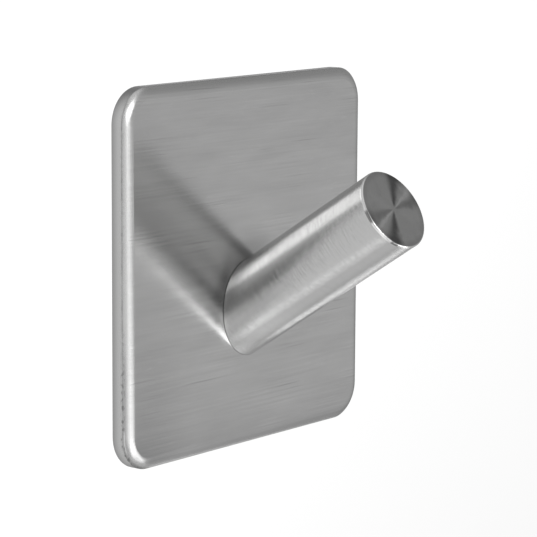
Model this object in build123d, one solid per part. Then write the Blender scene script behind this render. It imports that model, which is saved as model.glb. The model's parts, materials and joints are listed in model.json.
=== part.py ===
from build123d import *

import os
from math import cos, radians, sin, tan

# Self-adhesive wall hook: a square plate pressed from stainless sheet, a solid
# round peg that rises from its face, and a foam pad in the hollow of its back.
# Millimetres and degrees. The wall is the plane Y = 0, the hook stands out
# toward -Y, +Z is up, and the origin is the middle of the pad's wall side.

# Back plate
plate_width = 45.0
plate_height = 45.0
plate_depth = 2.4             # from the face to the trimmed edge of the rim
corner_radius = 4.3           # of the outline
sheet_thickness = 1.0
bend_radius = 0.3             # inside of the bend between face and rim
edge_radius = 1.8             # outside, the face rounds off toward the rim
edge_angle = 52.0             # and turns this far before the crease along the rim
crease_round = 0.12
trim_round = 0.4              # deburred edges of the rim

# Peg
peg_diameter = 10.0
peg_length = 25.6             # along the axis, from the foot's middle to the end face
peg_rise = 33.0               # of the axis, above square to the plate
foot_drop = 5.5               # the foot's middle below the plate's middle
end_round = 0.25              # polished edge of the free end

# Adhesive pad
pad_margin = 0.3              # between the pad's edge and the end of the flat it lies on
pad_proud = 0.5               # how far the pad stands out behind the rim
pad_corner_radius = 2.0

# Sizes that follow from these
rim_y = -pad_proud
face_y = rim_y - plate_depth
tray_floor_y = face_y + sheet_thickness
edge_run = edge_radius * sin(radians(edge_angle))
crease_y = face_y + edge_radius * (1 - cos(radians(edge_angle)))
flat_inset = max(edge_run, sheet_thickness + bend_radius) + bend_radius


def rim_section():
    """Section of the sheet from its trimmed edge to the flat face, inward along X."""
    edge = JernArc((edge_run, face_y), (-1, 0), edge_radius, -edge_angle)
    inside = Polyline(
        edge @ 0,
        (flat_inset, face_y),
        (flat_inset, tray_floor_y),
        (sheet_thickness, tray_floor_y),
        (sheet_thickness, rim_y),
        (0, rim_y),
        edge @ 1,
    )
    section = make_face([edge, inside])
    rounds = {
        (0, crease_y): crease_round,
        (sheet_thickness, tray_floor_y): bend_radius,
        (sheet_thickness, rim_y): min(trim_round, 0.45 * sheet_thickness),
        (0, rim_y): min(trim_round, 0.45 * sheet_thickness),
    }
    for corner, radius in rounds.items():
        section = fillet(section.vertices().sort_by_distance(corner)[0], radius)
    return section


def make_back_plate():
    """The rim is swept around the outline, and the flat of the face closes it."""
    outline = Plane.XZ * RectangleRounded(plate_width, plate_height, corner_radius)
    rim = sweep(Pos(X=-plate_width / 2) * rim_section(), outline.face().outer_wire())
    flat = RectangleRounded(
        plate_width - 2 * flat_inset,
        plate_height - 2 * flat_inset,
        corner_radius - flat_inset,
    )
    return rim + extrude(Plane.XZ.offset(-tray_floor_y) * flat, sheet_thickness)


def make_peg():
    """Round bar, its free end rounded at the edge, mitred where it meets the face."""
    rise = radians(peg_rise)
    axis = Plane((0, face_y, -foot_drop), (1, 0, 0), (0, -cos(rise), sin(rise)))
    mitre_stock = peg_diameter * tan(rise)
    bar = Cylinder(
        peg_diameter / 2,
        mitre_stock + peg_length,
        align=(Align.CENTER, Align.CENTER, Align.MIN),
    )
    bar = fillet(bar.faces().sort_by(Axis.Z)[-1].edges(), end_round)
    bar = axis * Pos(Z=-mitre_stock) * bar
    return split(bar, Plane.XZ.offset(-face_y), Keep.TOP)


def make_adhesive_pad():
    """Foam tape that lies on the flat of the tray."""
    outline = RectangleRounded(
        plate_width - 2 * (flat_inset + pad_margin),
        plate_height - 2 * (flat_inset + pad_margin),
        pad_corner_radius,
    )
    return extrude(Plane.XZ * outline, -tray_floor_y)


os.makedirs("parts", exist_ok=True)
nodes = {
    "back_plate": make_back_plate(),
    "peg": make_peg(),
    "adhesive_pad": make_adhesive_pad(),
}
for name, solid in nodes.items():
    export_step(solid, f"parts/{name}.step")
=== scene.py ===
import bpy
import json
import math
from mathutils import Matrix, Vector


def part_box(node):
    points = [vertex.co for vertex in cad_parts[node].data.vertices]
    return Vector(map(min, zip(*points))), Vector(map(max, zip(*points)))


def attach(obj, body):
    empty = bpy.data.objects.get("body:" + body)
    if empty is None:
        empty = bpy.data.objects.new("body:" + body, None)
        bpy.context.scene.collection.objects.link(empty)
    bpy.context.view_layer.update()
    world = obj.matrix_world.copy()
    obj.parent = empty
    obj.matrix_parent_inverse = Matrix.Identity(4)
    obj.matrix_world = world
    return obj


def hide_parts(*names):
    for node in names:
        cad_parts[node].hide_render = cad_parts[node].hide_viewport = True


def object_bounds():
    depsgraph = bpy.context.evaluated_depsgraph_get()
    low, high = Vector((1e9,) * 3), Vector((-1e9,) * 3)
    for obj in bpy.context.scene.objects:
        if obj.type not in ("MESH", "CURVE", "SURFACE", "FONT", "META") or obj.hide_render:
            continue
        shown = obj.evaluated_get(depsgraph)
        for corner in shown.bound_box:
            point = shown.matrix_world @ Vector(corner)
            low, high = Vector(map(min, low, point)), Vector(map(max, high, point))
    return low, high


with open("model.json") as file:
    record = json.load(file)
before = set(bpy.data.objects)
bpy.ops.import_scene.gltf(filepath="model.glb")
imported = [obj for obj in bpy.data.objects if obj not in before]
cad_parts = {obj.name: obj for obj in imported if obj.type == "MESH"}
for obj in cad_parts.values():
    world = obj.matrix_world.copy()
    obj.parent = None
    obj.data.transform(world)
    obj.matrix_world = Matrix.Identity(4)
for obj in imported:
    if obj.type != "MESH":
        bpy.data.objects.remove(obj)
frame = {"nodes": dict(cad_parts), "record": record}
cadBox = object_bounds()
backPlate = frame["nodes"]["back_plate"]
peg = frame["nodes"]["peg"]
hangingPeg = next(mount for mount in frame["record"]["mounts"] if mount["name"] == "hanging_peg")
pegAxis = Vector(hangingPeg["axis"]).normalized()
mm = 0.001
print("frame loaded:", ", ".join(sorted(frame["nodes"])))


class Wire:
    # one output of a node, so that sums on it add Math nodes
    def __init__(self, board, socket):
        self.board = board
        self.socket = socket

    def calc(self, operation, *others):
        return self.board.maths(operation, self, *others)

    def fade(self, start, full):  # 0 at start, 1 at full, smooth between
        return self.board.node(
            "ShaderNodeMapRange",
            {"interpolation_type": "SMOOTHSTEP"},
            {"Value": self, "From Min": start, "From Max": full},
        )

    def __add__(self, other):
        return self.calc("ADD", other)

    def __sub__(self, other):
        return self.calc("SUBTRACT", other)

    def __rsub__(self, other):
        return self.board.maths("SUBTRACT", other, self)

    def __mul__(self, other):
        return self.calc("MULTIPLY", other)

    def __truediv__(self, other):
        return self.calc("DIVIDE", other)

    def __abs__(self):
        return self.calc("ABSOLUTE")

    __radd__ = __add__
    __rmul__ = __mul__


class Board:
    # the node tree of one material or of the world
    def __init__(self, tree):
        tree.nodes.clear()
        self.tree = tree

    def node(self, kind, settings=None, sockets=None, output=0):
        made = self.tree.nodes.new(kind)
        for name, value in (settings or {}).items():
            setattr(made, name, value)
        for place, value in (sockets or {}).items():
            socket = made.inputs[place]
            if isinstance(value, Wire):
                self.tree.links.new(value.socket, socket)
            else:
                socket.default_value = value
        return Wire(self, made.outputs[output])

    def maths(self, operation, *terms):
        return self.node("ShaderNodeMath", {"operation": operation}, dict(enumerate(terms)))

    def vectors(self, operation, *terms, output=0):
        return self.node("ShaderNodeVectorMath", {"operation": operation}, dict(enumerate(terms)), output)

    def triple(self, value):  # one value as all three parts of a vector
        return self.node("ShaderNodeCombineXYZ", {}, {0: value, 1: value, 2: value})

    def place(self, output="Object"):
        return self.node("ShaderNodeTexCoord", output=output)

    def axes(self, vector):
        split = self.node("ShaderNodeSeparateXYZ", sockets={"Vector": vector}).socket.node
        return [Wire(self, out) for out in split.outputs]

    def grain(self, vector, cell, detail, cut=None):
        # noise with cells of this size along X, Y, Z: about zero, or cut to marks from 0 to 1
        scaled = self.node(
            "ShaderNodeMapping", sockets={"Vector": vector, "Scale": [1 / side for side in cell]}
        )
        noise = self.node("ShaderNodeTexNoise", sockets={"Vector": scaled, "Scale": 1.0, "Detail": detail})
        return noise.fade(*cut) if cut else noise - 0.5

    def blend(self, factor, first, second):  # colours
        mix = self.node("ShaderNodeMix", {"data_type": "RGBA"}, {0: factor, 6: first, 7: second})
        return Wire(self, mix.socket.node.outputs[2])

    def bump(self, height):  # height in metres
        return self.node("ShaderNodeBump", sockets={"Height": height, "Distance": 1.0})

    def output(self, shader, kind="ShaderNodeOutputMaterial"):
        end = self.tree.nodes.new(kind)
        self.tree.links.new(shader.socket, end.inputs["Surface"])


def newMaterial(name):
    material = bpy.data.materials.new(name)
    material.use_nodes = True
    return material, Board(material.node_tree)


# Brushed plate: grain along X, a polishing line with small pits round the rim
plateFinish = {
    "steel": (0.572, 0.572, 0.569, 1),
    "streak": (0.36, 0.36, 0.36, 1),
    "paintedRimShade": (0.31, 0.31, 0.31, 1),
    "paintedShade": (0.30, 0.30, 0.30, 1),
    "paintedLight": (0.74, 0.74, 0.737, 1),
    "pitAndShade": (0.16, 0.16, 0.16, 1),
    "glint": (0.60, 0.60, 0.60, 1),
    "roughness": 0.21,
    "rimRoughness": 0.27,
    "roughnessSpread": 0.10,
    "markRoughness": 0.2,
    "anisotropic": 0.6,
    "brushTurn": 0.25,        # of the stretched highlights, in turns
    "fine": {"cell": (14 * mm, 1 * mm, 0.15 * mm), "detail": 3},
    "long": {"cell": (24 * mm, 3 * mm, 0.30 * mm), "detail": 2},
    "clouds": {"cell": (12 * mm, 3 * mm, 2.6 * mm), "detail": 3},
    "patches": {"cell": (11 * mm, 3 * mm, 4 * mm), "detail": 1, "cut": (0.38, 0.62)},
    "scratches": {"cell": (13 * mm, 1 * mm, 0.17 * mm), "detail": 1, "cut": (0.66, 0.78)},
    "dashes": {"cell": (2.2 * mm, 1 * mm, 0.17 * mm), "detail": 1, "cut": (0.66, 0.78)},
    "pits": {"cell": (0.30 * mm, 0.30 * mm, 0.50 * mm), "detail": 0, "cut": (0.54, 0.64)},
    "lineParts": {"cell": (2 * mm, 2 * mm, 2 * mm), "detail": 2, "cut": (0.42, 0.60)},
    "relief": {"fine": 0.0015 * mm, "long": 0.00625 * mm, "scratches": 0.00125 * mm, "marks": 0.005 * mm},
    # from here on in millimetres: the foot, and what runs round the rim at a depth behind the face
    "foot": {"width": 10, "height": 11.9, "middle": -5.5},
    "depths": {"line": 0.68, "crease": 0.58, "glint": 0.50},
    # where things show: a measure, where it starts and where it is full. The measures are x, z, the depth
    # behind the face, the distance from a depth above, and the foot, which is 1 at the foot's outline
    "zones": {
        "flat": (("behind", 0.35, 0.05),),
        "leftSide": (("x", -20, -21.5),),
        "leftFace": (("x", -9, -20), ("x", -21.4, -20.6)),
        "lowerHalf": (("z", 3, -3),),
        "lowerPart": (("z", -8, -20),),
        "lowEdge": (("z", -17, -21.5),),
        "line": (("line", 0.10, 0.03),),
        "besideLine": (("line", 0.32, 0.05),),
        "pitted": (("x", -18, -21), ("z", -4, -14)),
        "crease": (("crease", 0.20, 0.08), ("x", -17.5, -19), ("z", -18.2, -19.6)),
        "glint": (("glint", 0.07, 0.03), ("x", -18, -20), ("z", -20.6, -19.6), ("z", -17, -18)),
        "leftShade": (("behind", 1.0, 2.3),),
        "rimShade": (("behind", 0.52, 0.90),),
        "lowShade": (("behind", 0.15, 0.60), ("z", -20, -21.5)),
        "band": (("behind", 0.28, 0.44), ("behind", 0.66, 0.58), ("z", -4, -12), ("z", -20, -18.5)),
        "aboveFoot": (("foot", 1.8, 1.0), ("z", -8, -3.5)),
        "besideFoot": (("foot", 1.5, 1.05), ("x", -3, -5), ("z", -5, -2.5)),
        "underFoot": (("foot", 1.3, 1.05), ("x", -1.5, -3), ("z", -5, -7), ("z", -10.2, -8.8)),
    },
    # how strongly each thing shows
    "shows": {
        "fine": 0.6,
        "long": 0.7,
        "even": 0.2,
        "brushing": 0.22,
        "patches": 0.5,
        "clouds": 0.6,
        "scratches": 0.65,
        "dashes": 0.2,
        "lowerHalf": 0.2,
        "lowerPart": 0.35,
        "lowEdge": 0.22,
        "line": 0.08,
        "lineParts": 0.22,
        "pits": 0.65,
        "strayPits": 0.25,
        "crease": 0.5,
        "marks": 0.8,
        "shade": 0.85,
        "band": 0.5,
        "aboveFoot": 0.78,
        "besideFoot": 0.6,
        "underFoot": 0.7,
    },
}


def brushPlate():
    look = plateFinish
    shows = look["shows"]
    foot = look["foot"]
    relief = look["relief"]
    material, board = newMaterial("plateBrushed")
    place = board.place()
    x, y, z = (part / mm for part in board.axes(place))
    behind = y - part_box("back_plate")[0].y / mm
    across = x / (foot["width"] / 2)
    upward = (z - foot["middle"]) / (foot["height"] / 2)
    measures = {"x": x, "z": z, "behind": behind}
    measures["foot"] = (across * across + upward * upward).calc("SQRT")
    for name, depth in look["depths"].items():
        measures[name] = abs(behind - depth)

    def zone(name):
        return math.prod(measures[measure].fade(*ends) for measure, *ends in look["zones"][name])

    def grain(name):
        return board.grain(place, **look[name])

    flat = zone("flat")
    fine = grain("fine")
    long = grain("long")
    clouds = grain("clouds")
    patches = grain("patches")
    scratches = grain("scratches")
    brushed = fine * shows["fine"] + long * shows["long"]
    streaks = scratches * patches * shows["scratches"] + clouds * shows["clouds"]
    streaks = streaks - brushed * (shows["brushing"] + patches * shows["patches"])
    streaks = streaks - grain("dashes") * shows["dashes"]
    # painted shade: the face is a little darker toward the left and the lower edge
    paintedFaceShade = zone("lowerHalf") * shows["lowerHalf"] + zone("lowerPart") * shows["lowerPart"]
    paintedFaceShade = paintedFaceShade * zone("leftFace") + zone("lowEdge") * shows["lowEdge"]
    tone = board.blend(shows["even"] + (streaks + paintedFaceShade) * flat, look["steel"], look["streak"])
    # polishing line along the rim, stronger in parts, with most of its pits at the lower left
    line = zone("line") * (shows["line"] + grain("lineParts") * shows["lineParts"])
    pits = grain("pits") * zone("besideLine")
    pits = pits * (shows["strayPits"] + zone("pitted") * (1 - shows["strayPits"]))
    # the crease at the lower left corner is painted shade
    marks = line + pits * shows["pits"] + zone("crease") * shows["crease"]
    marks = marks.calc("MINIMUM", 1.0)
    # painted shade: the rim darkens toward the wall, on the left side only past the line
    leftSide = zone("leftSide")
    shade = zone("leftShade") * leftSide + zone("rimShade") * (1 - leftSide)
    shade = shade.calc("MAXIMUM", zone("lowShade") * (1 - leftSide))
    layers = (
        (shade * shows["shade"], "paintedRimShade"),
        (zone("band") * leftSide * shows["band"], "paintedShade"),  # painted shade beside the line, low on the left
        (zone("aboveFoot") * shows["aboveFoot"], "paintedShade"),   # painted shade above the foot
        # painted shade beside the foot
        (zone("besideFoot") * shows["besideFoot"], "pitAndShade"),
        # painted highlight under the foot
        (zone("underFoot") * shows["underFoot"], "paintedLight"),
        (marks * shows["marks"], "pitAndShade"),
        (zone("glint"), "glint"),
    )
    for factor, colour in layers:
        tone = board.blend(factor, tone, look[colour])
    spread = (brushed + clouds) * look["roughnessSpread"]
    roughness = look["rimRoughness"] + flat * (look["roughness"] - look["rimRoughness"] + spread)
    height = (fine * relief["fine"] + long * relief["long"] - scratches * relief["scratches"]) * flat
    height = height - marks * relief["marks"]
    steel = board.node(
        "ShaderNodeBsdfPrincipled",
        {},
        {
            "Base Color": tone,
            "Metallic": 1.0,
            "Roughness": roughness + marks * look["markRoughness"],
            "Anisotropic": look["anisotropic"],
            "Anisotropic Rotation": look["brushTurn"],
            "Normal": board.bump(height),
        },
    )
    board.output(steel)
    return material


# Peg: polish runs round the bar, with a turned end face; painted highlights along its underside and round
# the end's edge
pegFinish = {
    "steel": (0.55, 0.55, 0.547, 1),
    "tick": (0.36, 0.36, 0.36, 1),
    "polished": (0.70, 0.70, 0.697, 1),
    "paintedHighlight": (0.80, 0.80, 0.797, 1),
    "endSteel": (0.42, 0.42, 0.417, 1),
    "endDark": (0.11, 0.11, 0.11, 1),
    "endLight": (0.58, 0.58, 0.577, 1),
    "seam": (0.10, 0.10, 0.10, 1),
    "roughness": 0.12,
    "endRoughness": 0.24,
    "roughnessSpread": 0.02,
    "rings": {"cell": (4 * mm, 4 * mm, 0.028 * mm), "detail": 2},
    "ticks": {"cell": (0.8 * mm, 0.8 * mm, 0.14 * mm), "detail": 1},
    "coarse": {"cell": (8 * mm, 8 * mm, 0.4 * mm), "detail": 1},
    "uneven": {"cell": (1.3 * mm, 1.3 * mm, 1.3 * mm), "detail": 2},
    "ringDepth": 0.012 * mm,
    "turnedDepth": 0.006 * mm,
    # from here on in millimetres, where things start and where they are full
    "turnedPitch": 0.055,
    "hub": (0.1, 0.9),            # from the axis, where the spokes begin
    "darkerFaceEdge": (3.9, 4.75),      # from the axis
    "endSkin": (-0.06, -0.02),    # from the end
    "endEdge": (-0.42, -0.336),   # from the end
    "seamBand": (-0.12, 0),       # from the plate's face
    "underside": (-3, -8),        # heights, near the foot
    "lowest": (-9, -10.8),        # heights
    # painted reflections, as spokes on the turned face: angle from +X, sine of the half width, strength
    "darkSpokes": ((56, 0.40, 0.95), (8, 0.34, 0.45)),
    "lightSpokes": ((24, 0.17, 0.8), (150, 0.5, 0.15)),
    "spokeCore": 0.02,
    # painted highlights and painted dark reflections round the end's edge: angle from +X, half width
    "edgeLights": ((206, 14), (255, 8)),
    "paintedEdgeShades": ((184, 9), (237, 6)),
    "edgeSoftness": (1.3, 0.6),   # shares of the half width where a mark starts and is full
    # how strongly each thing shows
    "shows": {
        "ticks": 0.4,
        "coarse": 0.1,
        "underside": 0.6,
        "turned": 0.12,
        "darkerFaceEdge": 0.22,
        "uneven": 0.4,
        "waver": 0.25,
        "paintedEdgeShades": 0.8,
    },
}


def polishPeg():
    look = pegFinish
    shows = look["shows"]
    material, board = newMaterial("pegPolished")
    start = Vector(hangingPeg["pos_m"])
    end = max((vertex.co - start).dot(pegAxis) for vertex in peg.data.vertices)
    turn = (math.atan2(-pegAxis.y, pegAxis.z), 0, 0)
    place = board.place()
    along = board.node(
        "ShaderNodeMapping",
        {"vector_type": "TEXTURE"},
        {"Vector": place, "Location": start, "Rotation": turn},
    )
    y, z = (part / mm for part in board.axes(place)[1:])
    u, v, w = (part / mm for part in board.axes(along))  # w runs along the peg
    radius = (u * u + v * v).calc("SQRT").calc("MAXIMUM", 0.01)  # never 0, because it divides
    fromEnd = w - end / mm
    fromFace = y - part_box("peg")[1].y / mm

    def grain(name):
        return board.grain(along, **look[name])

    rings = grain("rings")
    coarse = grain("coarse")
    uneven = grain("uneven")
    turned = board.node(
        "ShaderNodeTexNoise",
        {"noise_dimensions": "1D"},
        {"W": radius / look["turnedPitch"], "Scale": 1.0, "Detail": 1.0},
    )
    turned = turned - 0.5

    def spokes(table):
        total = 0
        for angle, halfWidth, strength in table:
            angle = math.radians(angle)
            side = (v * math.cos(angle) - u * math.sin(angle)) / radius + uneven * shows["waver"]
            total = abs(side).fade(halfWidth, look["spokeCore"]) * strength + total
        return total * radius.fade(*look["hub"])

    def roundEdge(table):
        total = 0
        for angle, half in table:
            angle = math.radians(angle)
            facing = (u * math.cos(angle) + v * math.sin(angle)) / radius
            ends = [math.cos(math.radians(share * half)) for share in look["edgeSoftness"]]
            total = facing.fade(*ends) + total
        return total

    ticks = rings + grain("ticks") * shows["ticks"] + coarse * shows["coarse"]
    bar = board.blend(ticks.calc("MAXIMUM", 0.0), look["steel"], look["tick"])
    # painted highlights: the underside near the foot and the lowest strip of the bar are lighter
    bar = board.blend(z.fade(*look["underside"]) * shows["underside"], bar, look["polished"])
    bar = board.blend(z.fade(*look["lowest"]), bar, look["paintedHighlight"])
    # painted reflections: light and dark spokes on the turned end face
    face = board.blend(spokes(look["lightSpokes"]), look["endSteel"], look["endLight"])
    # darker toward the end face's edge, with random mottling
    edgeAndMottle = radius.fade(*look["darkerFaceEdge"]) * shows["darkerFaceEdge"] + uneven * shows["uneven"]
    dark = spokes(look["darkSpokes"]) + turned * shows["turned"] + edgeAndMottle
    face = board.blend(dark, face, look["endDark"])
    # painted highlights and painted dark reflections round the end's edge, on a band painted lighter as a
    # highlight
    edge = board.blend(roundEdge(look["edgeLights"]), look["polished"], look["paintedHighlight"])
    edge = board.blend(roundEdge(look["paintedEdgeShades"]) * shows["paintedEdgeShades"], edge, look["endDark"])
    onEnd = fromEnd.fade(*look["endSkin"])
    tone = board.blend(fromEnd.fade(*look["endEdge"]) * (1 - onEnd), bar, edge)
    tone = board.blend(onEnd, tone, face)
    tone = board.blend(fromFace.fade(*look["seamBand"]), tone, look["seam"])
    roughness = look["roughness"] + onEnd * (look["endRoughness"] - look["roughness"])
    height = rings * (1 - onEnd) * look["ringDepth"] + turned * onEnd * look["turnedDepth"]
    steel = board.node(
        "ShaderNodeBsdfPrincipled",
        {},
        {
            "Base Color": tone,
            "Metallic": 1.0,
            "Roughness": roughness + coarse * look["roughnessSpread"],
            "Normal": board.bump(height),
        },
    )
    board.output(steel)
    return material


def dress(node, material):
    for slot in node.material_slots:
        slot.material = material


dress(backPlate, brushPlate())
dress(peg, polishPeg())
print("steel dressed")


# Foam tape in the hollow of the plate
tape = {
    "film": 0.08 * mm,        # adhesive film on each side
    "cornerRadius": 2 * mm,
    "cornerSegments": 8,
    "squeeze": 0.12 * mm,     # the foam stands in from the films
    "squeezeRun": 0.03 * mm,  # over which it does so
    "smoothAngle": 35,
    "foam": (0.62, 0.62, 0.60, 1),
    "cells": (0.50, 0.50, 0.48, 1),
    "bubble": (0.70, 0.70, 0.68, 1),
    "cellSize": 0.22 * mm,
    "cellDepth": 0.02 * mm,
    "mottle": {"cell": (6 * mm, 6 * mm, 6 * mm), "detail": 4},
    # air under the film
    "bubbles": {"cell": (0.9 * mm, 0.9 * mm, 0.9 * mm), "detail": 0, "cut": (0.62, 0.82)},
    "roughness": 0.6,
    "roughnessSpread": 0.3,
    "shows": {"even": 0.24, "cells": 0.5, "mottle": 1.6, "bubbles": 0.35},
}


def foamMaterial():
    shows = tape["shows"]
    material, board = newMaterial("tapeFoam")
    place = board.place()
    cells = board.node(
        "ShaderNodeTexVoronoi", {}, {"Vector": place, "Scale": 1 / tape["cellSize"]}
    )
    mottle = board.grain(place, **tape["mottle"])
    bubbles = board.grain(place, **tape["bubbles"])
    dark = shows["even"] + cells * shows["cells"] + mottle * shows["mottle"]
    tone = board.blend(dark, tape["foam"], tape["cells"])
    tone = board.blend(bubbles * shows["bubbles"], tone, tape["bubble"])
    foam = board.node(
        "ShaderNodeBsdfPrincipled",
        {},
        {
            "Base Color": tone,
            "Roughness": tape["roughness"] + mottle * tape["roughnessSpread"],
            "Normal": board.bump(cells * tape["cellDepth"]),
        },
    )
    board.output(foam)
    return material


def selectFaces(mesh, test):
    bpy.ops.object.mode_set(mode="OBJECT")
    for face in mesh.polygons:
        face.select = test(face)
    bpy.ops.object.mode_set(mode="EDIT")


def selectEdges(mesh, test):
    bpy.ops.object.mode_set(mode="OBJECT")
    for face in mesh.polygons:
        face.select = False
    for vertex in mesh.vertices:
        vertex.select = False
    for edge in mesh.edges:
        ends = [mesh.vertices[index].co for index in edge.vertices]
        edge.select = test(*ends)
    bpy.ops.object.mode_set(mode="EDIT")


def makeTape():
    low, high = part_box("adhesive_pad")
    size = high - low
    middle = (low + high) / 2
    bpy.ops.object.select_all(action="DESELECT")
    bpy.ops.mesh.primitive_cube_add(size=1, location=middle)
    pad = bpy.context.object
    pad.name = "foamTape"
    pad.scale = size
    bpy.ops.object.transform_apply(location=True, rotation=True, scale=True)
    mesh = pad.data
    bpy.ops.object.mode_set(mode="EDIT")
    bpy.ops.mesh.select_mode(type="EDGE")
    # round the four corners of the cut
    selectEdges(mesh, lambda a, b: abs(a.y - b.y) > size.y / 2)
    bpy.ops.mesh.bevel(offset=tape["cornerRadius"], segments=tape["cornerSegments"], affect="EDGES")
    # films on both sides of the foam
    for level in (low.y + tape["film"], high.y - tape["film"]):
        bpy.ops.mesh.select_all(action="SELECT")
        bpy.ops.mesh.bisect(plane_co=(0, level, 0), plane_no=(0, 1, 0))
    # the foam's own sides between them stand in
    bpy.ops.mesh.select_mode(type="FACE")
    selectFaces(mesh, lambda face: abs(face.normal.y) < 0.5 and abs(face.center.y - middle.y) < size.y / 4)
    bpy.ops.mesh.inset(thickness=tape["squeezeRun"], depth=-tape["squeeze"], use_even_offset=True)
    bpy.ops.object.mode_set(mode="OBJECT")
    bpy.ops.object.shade_smooth_by_angle(angle=math.radians(tape["smoothAngle"]))
    mesh.materials.append(foamMaterial())
    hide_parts("adhesive_pad")
    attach(pad, "root")


makeTape()
print("foam tape made")


# Studio round the hook. Directions are (bearing, lift) in degrees: bearing from the front toward +X,
# lift above the horizon. Each lobe adds its level inside the first angle, and nothing past the second.
# A stretched lobe is long in the peg's direction, as a light strip laid under it.
studio = {
    "centre": (cadBox[0] + cadBox[1]) / 2,
    "white": (1, 1, 1, 1),
    "level": 0.60,
    "stretch": 4.0,
    "lobes": {
        "backdrop": {"toward": (129, -9.5), "angles": (10, 18.5), "level": 0.58},
        "left": {"toward": (-118, -8), "angles": (30, 72), "level": 0.27},
        "upperLeft": {"toward": (-99, 36), "angles": (8, 34), "level": -0.05},
        "overhead": {"toward": (10, 80), "angles": (16, 42), "level": 0.38},
        "camera": {"toward": (-59, 1), "angles": (12, 24), "level": -0.37},
        "frontLow": {"toward": (-55, -36), "angles": (12, 19), "level": 0.48},
        "lowFront": {"toward": (39, -27), "angles": (5, 11), "level": 0.75},
        "frontRight": {"toward": (28, -22), "angles": (7, 15), "level": 0.56},
        "upperRight": {"toward": (100, 45), "angles": (5, 70), "level": -0.24},
        "highRight": {"toward": (85, 68), "angles": (10, 27), "level": 0.15},
        "lowRight": {"toward": (104, -38), "angles": (6, 42), "level": -0.24},
        "right": {"toward": (101, -6), "angles": (8, 22), "level": -0.14},
        "below": {"toward": (60, -85), "angles": (20, 60), "level": 0.16},
        "underLine": {"toward": (-108, -70), "angles": (3, 8), "level": 0.72, "stretched": True},
        "underEdge": {"toward": (111, -46), "angles": (6, 11), "level": 1.00},
        "behindEdge": {"toward": (125, -29), "angles": (5, 10), "level": 0.80},
        "faceSheen": {"toward": (51.5, -8.5), "angles": (1, 6), "level": 0.10},
    },
    "floorTone": (0.8, 0.8, 0.8, 1),
    "floorHeight": -0.30,
    "floorHalf": 25.0,
    "shadowShare": 0.12,
}


def direction(bearing, lift):
    bearing = math.radians(bearing)
    lift = math.radians(lift)
    return Vector((math.sin(bearing) * math.cos(lift), -math.cos(bearing) * math.cos(lift), math.sin(lift)))


def studioLevel(board, ray):
    shrink = 1 - 1 / studio["stretch"]

    def squeeze(vector):  # shorter along the peg
        return (vector - pegAxis * (vector.dot(pegAxis) * shrink)).normalized()

    along = board.vectors("DOT_PRODUCT", ray, pegAxis, output="Value")
    squeezed = board.vectors("MULTIPLY_ADD", board.triple(along), pegAxis * -shrink, ray)
    squeezed = board.vectors("NORMALIZE", squeezed)
    level = studio["level"]
    for lobe in studio["lobes"].values():
        inner, outer = (math.cos(math.radians(angle)) for angle in lobe["angles"])
        toward = direction(*lobe["toward"])
        if "stretched" in lobe:
            nearness = board.vectors("DOT_PRODUCT", squeezed, squeeze(toward), output="Value")
        else:
            nearness = board.vectors("DOT_PRODUCT", ray, toward, output="Value")
        level = nearness.fade(outer, inner) * lobe["level"] + level
    return level


def makeFloor():
    bpy.ops.object.select_all(action="DESELECT")
    bpy.ops.mesh.primitive_plane_add(size=2 * studio["floorHalf"], location=(0, 0, studio["floorHeight"]))
    plane = bpy.context.object
    plane.name = "studioFloor"
    bpy.ops.object.transform_apply(location=True, rotation=True, scale=True)
    material, board = newMaterial("studioFloor")
    ray = board.vectors("NORMALIZE", board.vectors("SUBTRACT", board.place(), studio["centre"]))
    path = board.node("ShaderNodeLightPath").socket.node
    seen = Wire(board, path.outputs["Is Camera Ray"])
    for name in ("Is Glossy Ray", "Is Transmission Ray"):
        seen = seen.calc("MAXIMUM", Wire(board, path.outputs[name]))
    glow = board.node(
        "ShaderNodeEmission", {}, {"Color": studio["white"], "Strength": studioLevel(board, ray)}
    )
    matt = board.node("ShaderNodeBsdfDiffuse", {}, {"Color": studio["floorTone"]})
    board.output(
        board.node("ShaderNodeMixShader", {}, {0: seen * (1 - studio["shadowShare"]), 1: matt, 2: glow})
    )
    plane.data.materials.append(material)


def makeSurround():
    world = bpy.data.worlds.new("studioSurround")
    bpy.context.scene.world = world
    world.use_nodes = True
    board = Board(world.node_tree)
    sky = board.node(
        "ShaderNodeBackground",
        {},
        {"Color": studio["white"], "Strength": studioLevel(board, board.place("Generated"))},
    )
    board.output(sky, "ShaderNodeOutputWorld")


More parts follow.
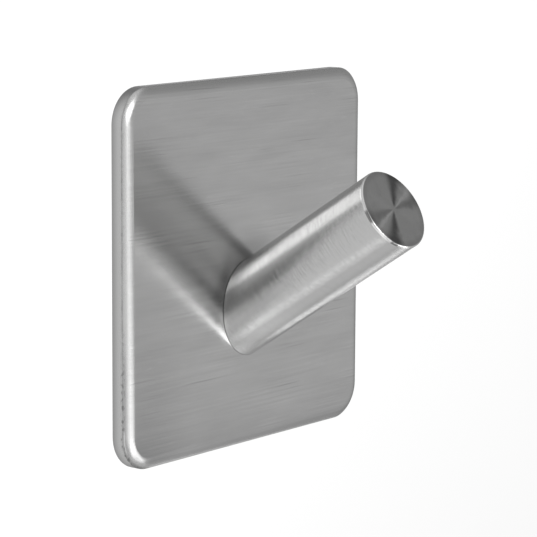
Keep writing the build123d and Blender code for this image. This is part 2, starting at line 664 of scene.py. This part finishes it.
# Soft boxes; a wide one round a core makes the front light fall off toward its edges
lamps = {
    "frontCore": {"toward": (-9, 23), "distance": 0.42, "size": (0.28, 0.26), "turn": 26, "level": 2.12},
    "frontMid": {"toward": (6, -22), "distance": 0.43, "size": (0.30, 0.22), "level": 0.58},
    "frontWide": {"toward": (-18, 0), "distance": 0.44, "size": (0.49, 0.42), "level": 0.40},
    "lowCore": {"toward": (22, -42), "distance": 0.40, "size": (0.27, 0.35), "level": 1.4},
}


def makeLamps():
    for name, lamp in lamps.items():
        toward = direction(*lamp["toward"])
        width, height = lamp["size"]
        data = bpy.data.lights.new(name, "AREA")
        data.shape = "RECTANGLE"
        data.size = width
        data.size_y = height
        data.energy = lamp["level"] * math.pi * width * height
        box = bpy.data.objects.new(name, data)
        turn = Matrix.Rotation(math.radians(lamp.get("turn", 0)), 4, "Z")
        box.matrix_world = (
            Matrix.Translation(studio["centre"] + toward * lamp["distance"])
            @ toward.to_track_quat("Z", "Y").to_matrix().to_4x4()
            @ turn
        )
        box.visible_camera = False
        bpy.context.scene.collection.objects.link(box)


makeFloor()
makeSurround()
makeLamps()
print("stage set")


# Camera as in the photograph
lens = {
    "place": (-0.240363, -0.197746, 0.049046),
    "yaw": 51.3954,           # from +Y toward +X
    "dip": 9.1506,
    "roll": 0.3365,
    "focal": 172.87,
    "sensor": 36,
}


def makeCamera():
    yaw, dip, roll = (math.radians(lens[key]) for key in ("yaw", "dip", "roll"))
    forward = Vector((math.sin(yaw) * math.cos(dip), math.cos(yaw) * math.cos(dip), -math.sin(dip)))
    right = Vector((math.cos(yaw), -math.sin(yaw), 0))
    up = right.cross(forward)
    across = right * math.cos(roll) + up * math.sin(roll)
    upward = up * math.cos(roll) - right * math.sin(roll)
    data = bpy.data.cameras.new("photoCamera")
    data.lens = lens["focal"]
    data.sensor_width = lens["sensor"]
    camera = bpy.data.objects.new("photoCamera", data)
    turn = Matrix((across, upward, -forward)).transposed().to_4x4()
    camera.matrix_world = Matrix.Translation(lens["place"]) @ turn
    bpy.context.scene.collection.objects.link(camera)
    bpy.context.scene.camera = camera


makeCamera()
bpy.context.scene.view_settings.view_transform = "Standard"
print("camera set")

bpy.context.view_layer.update()
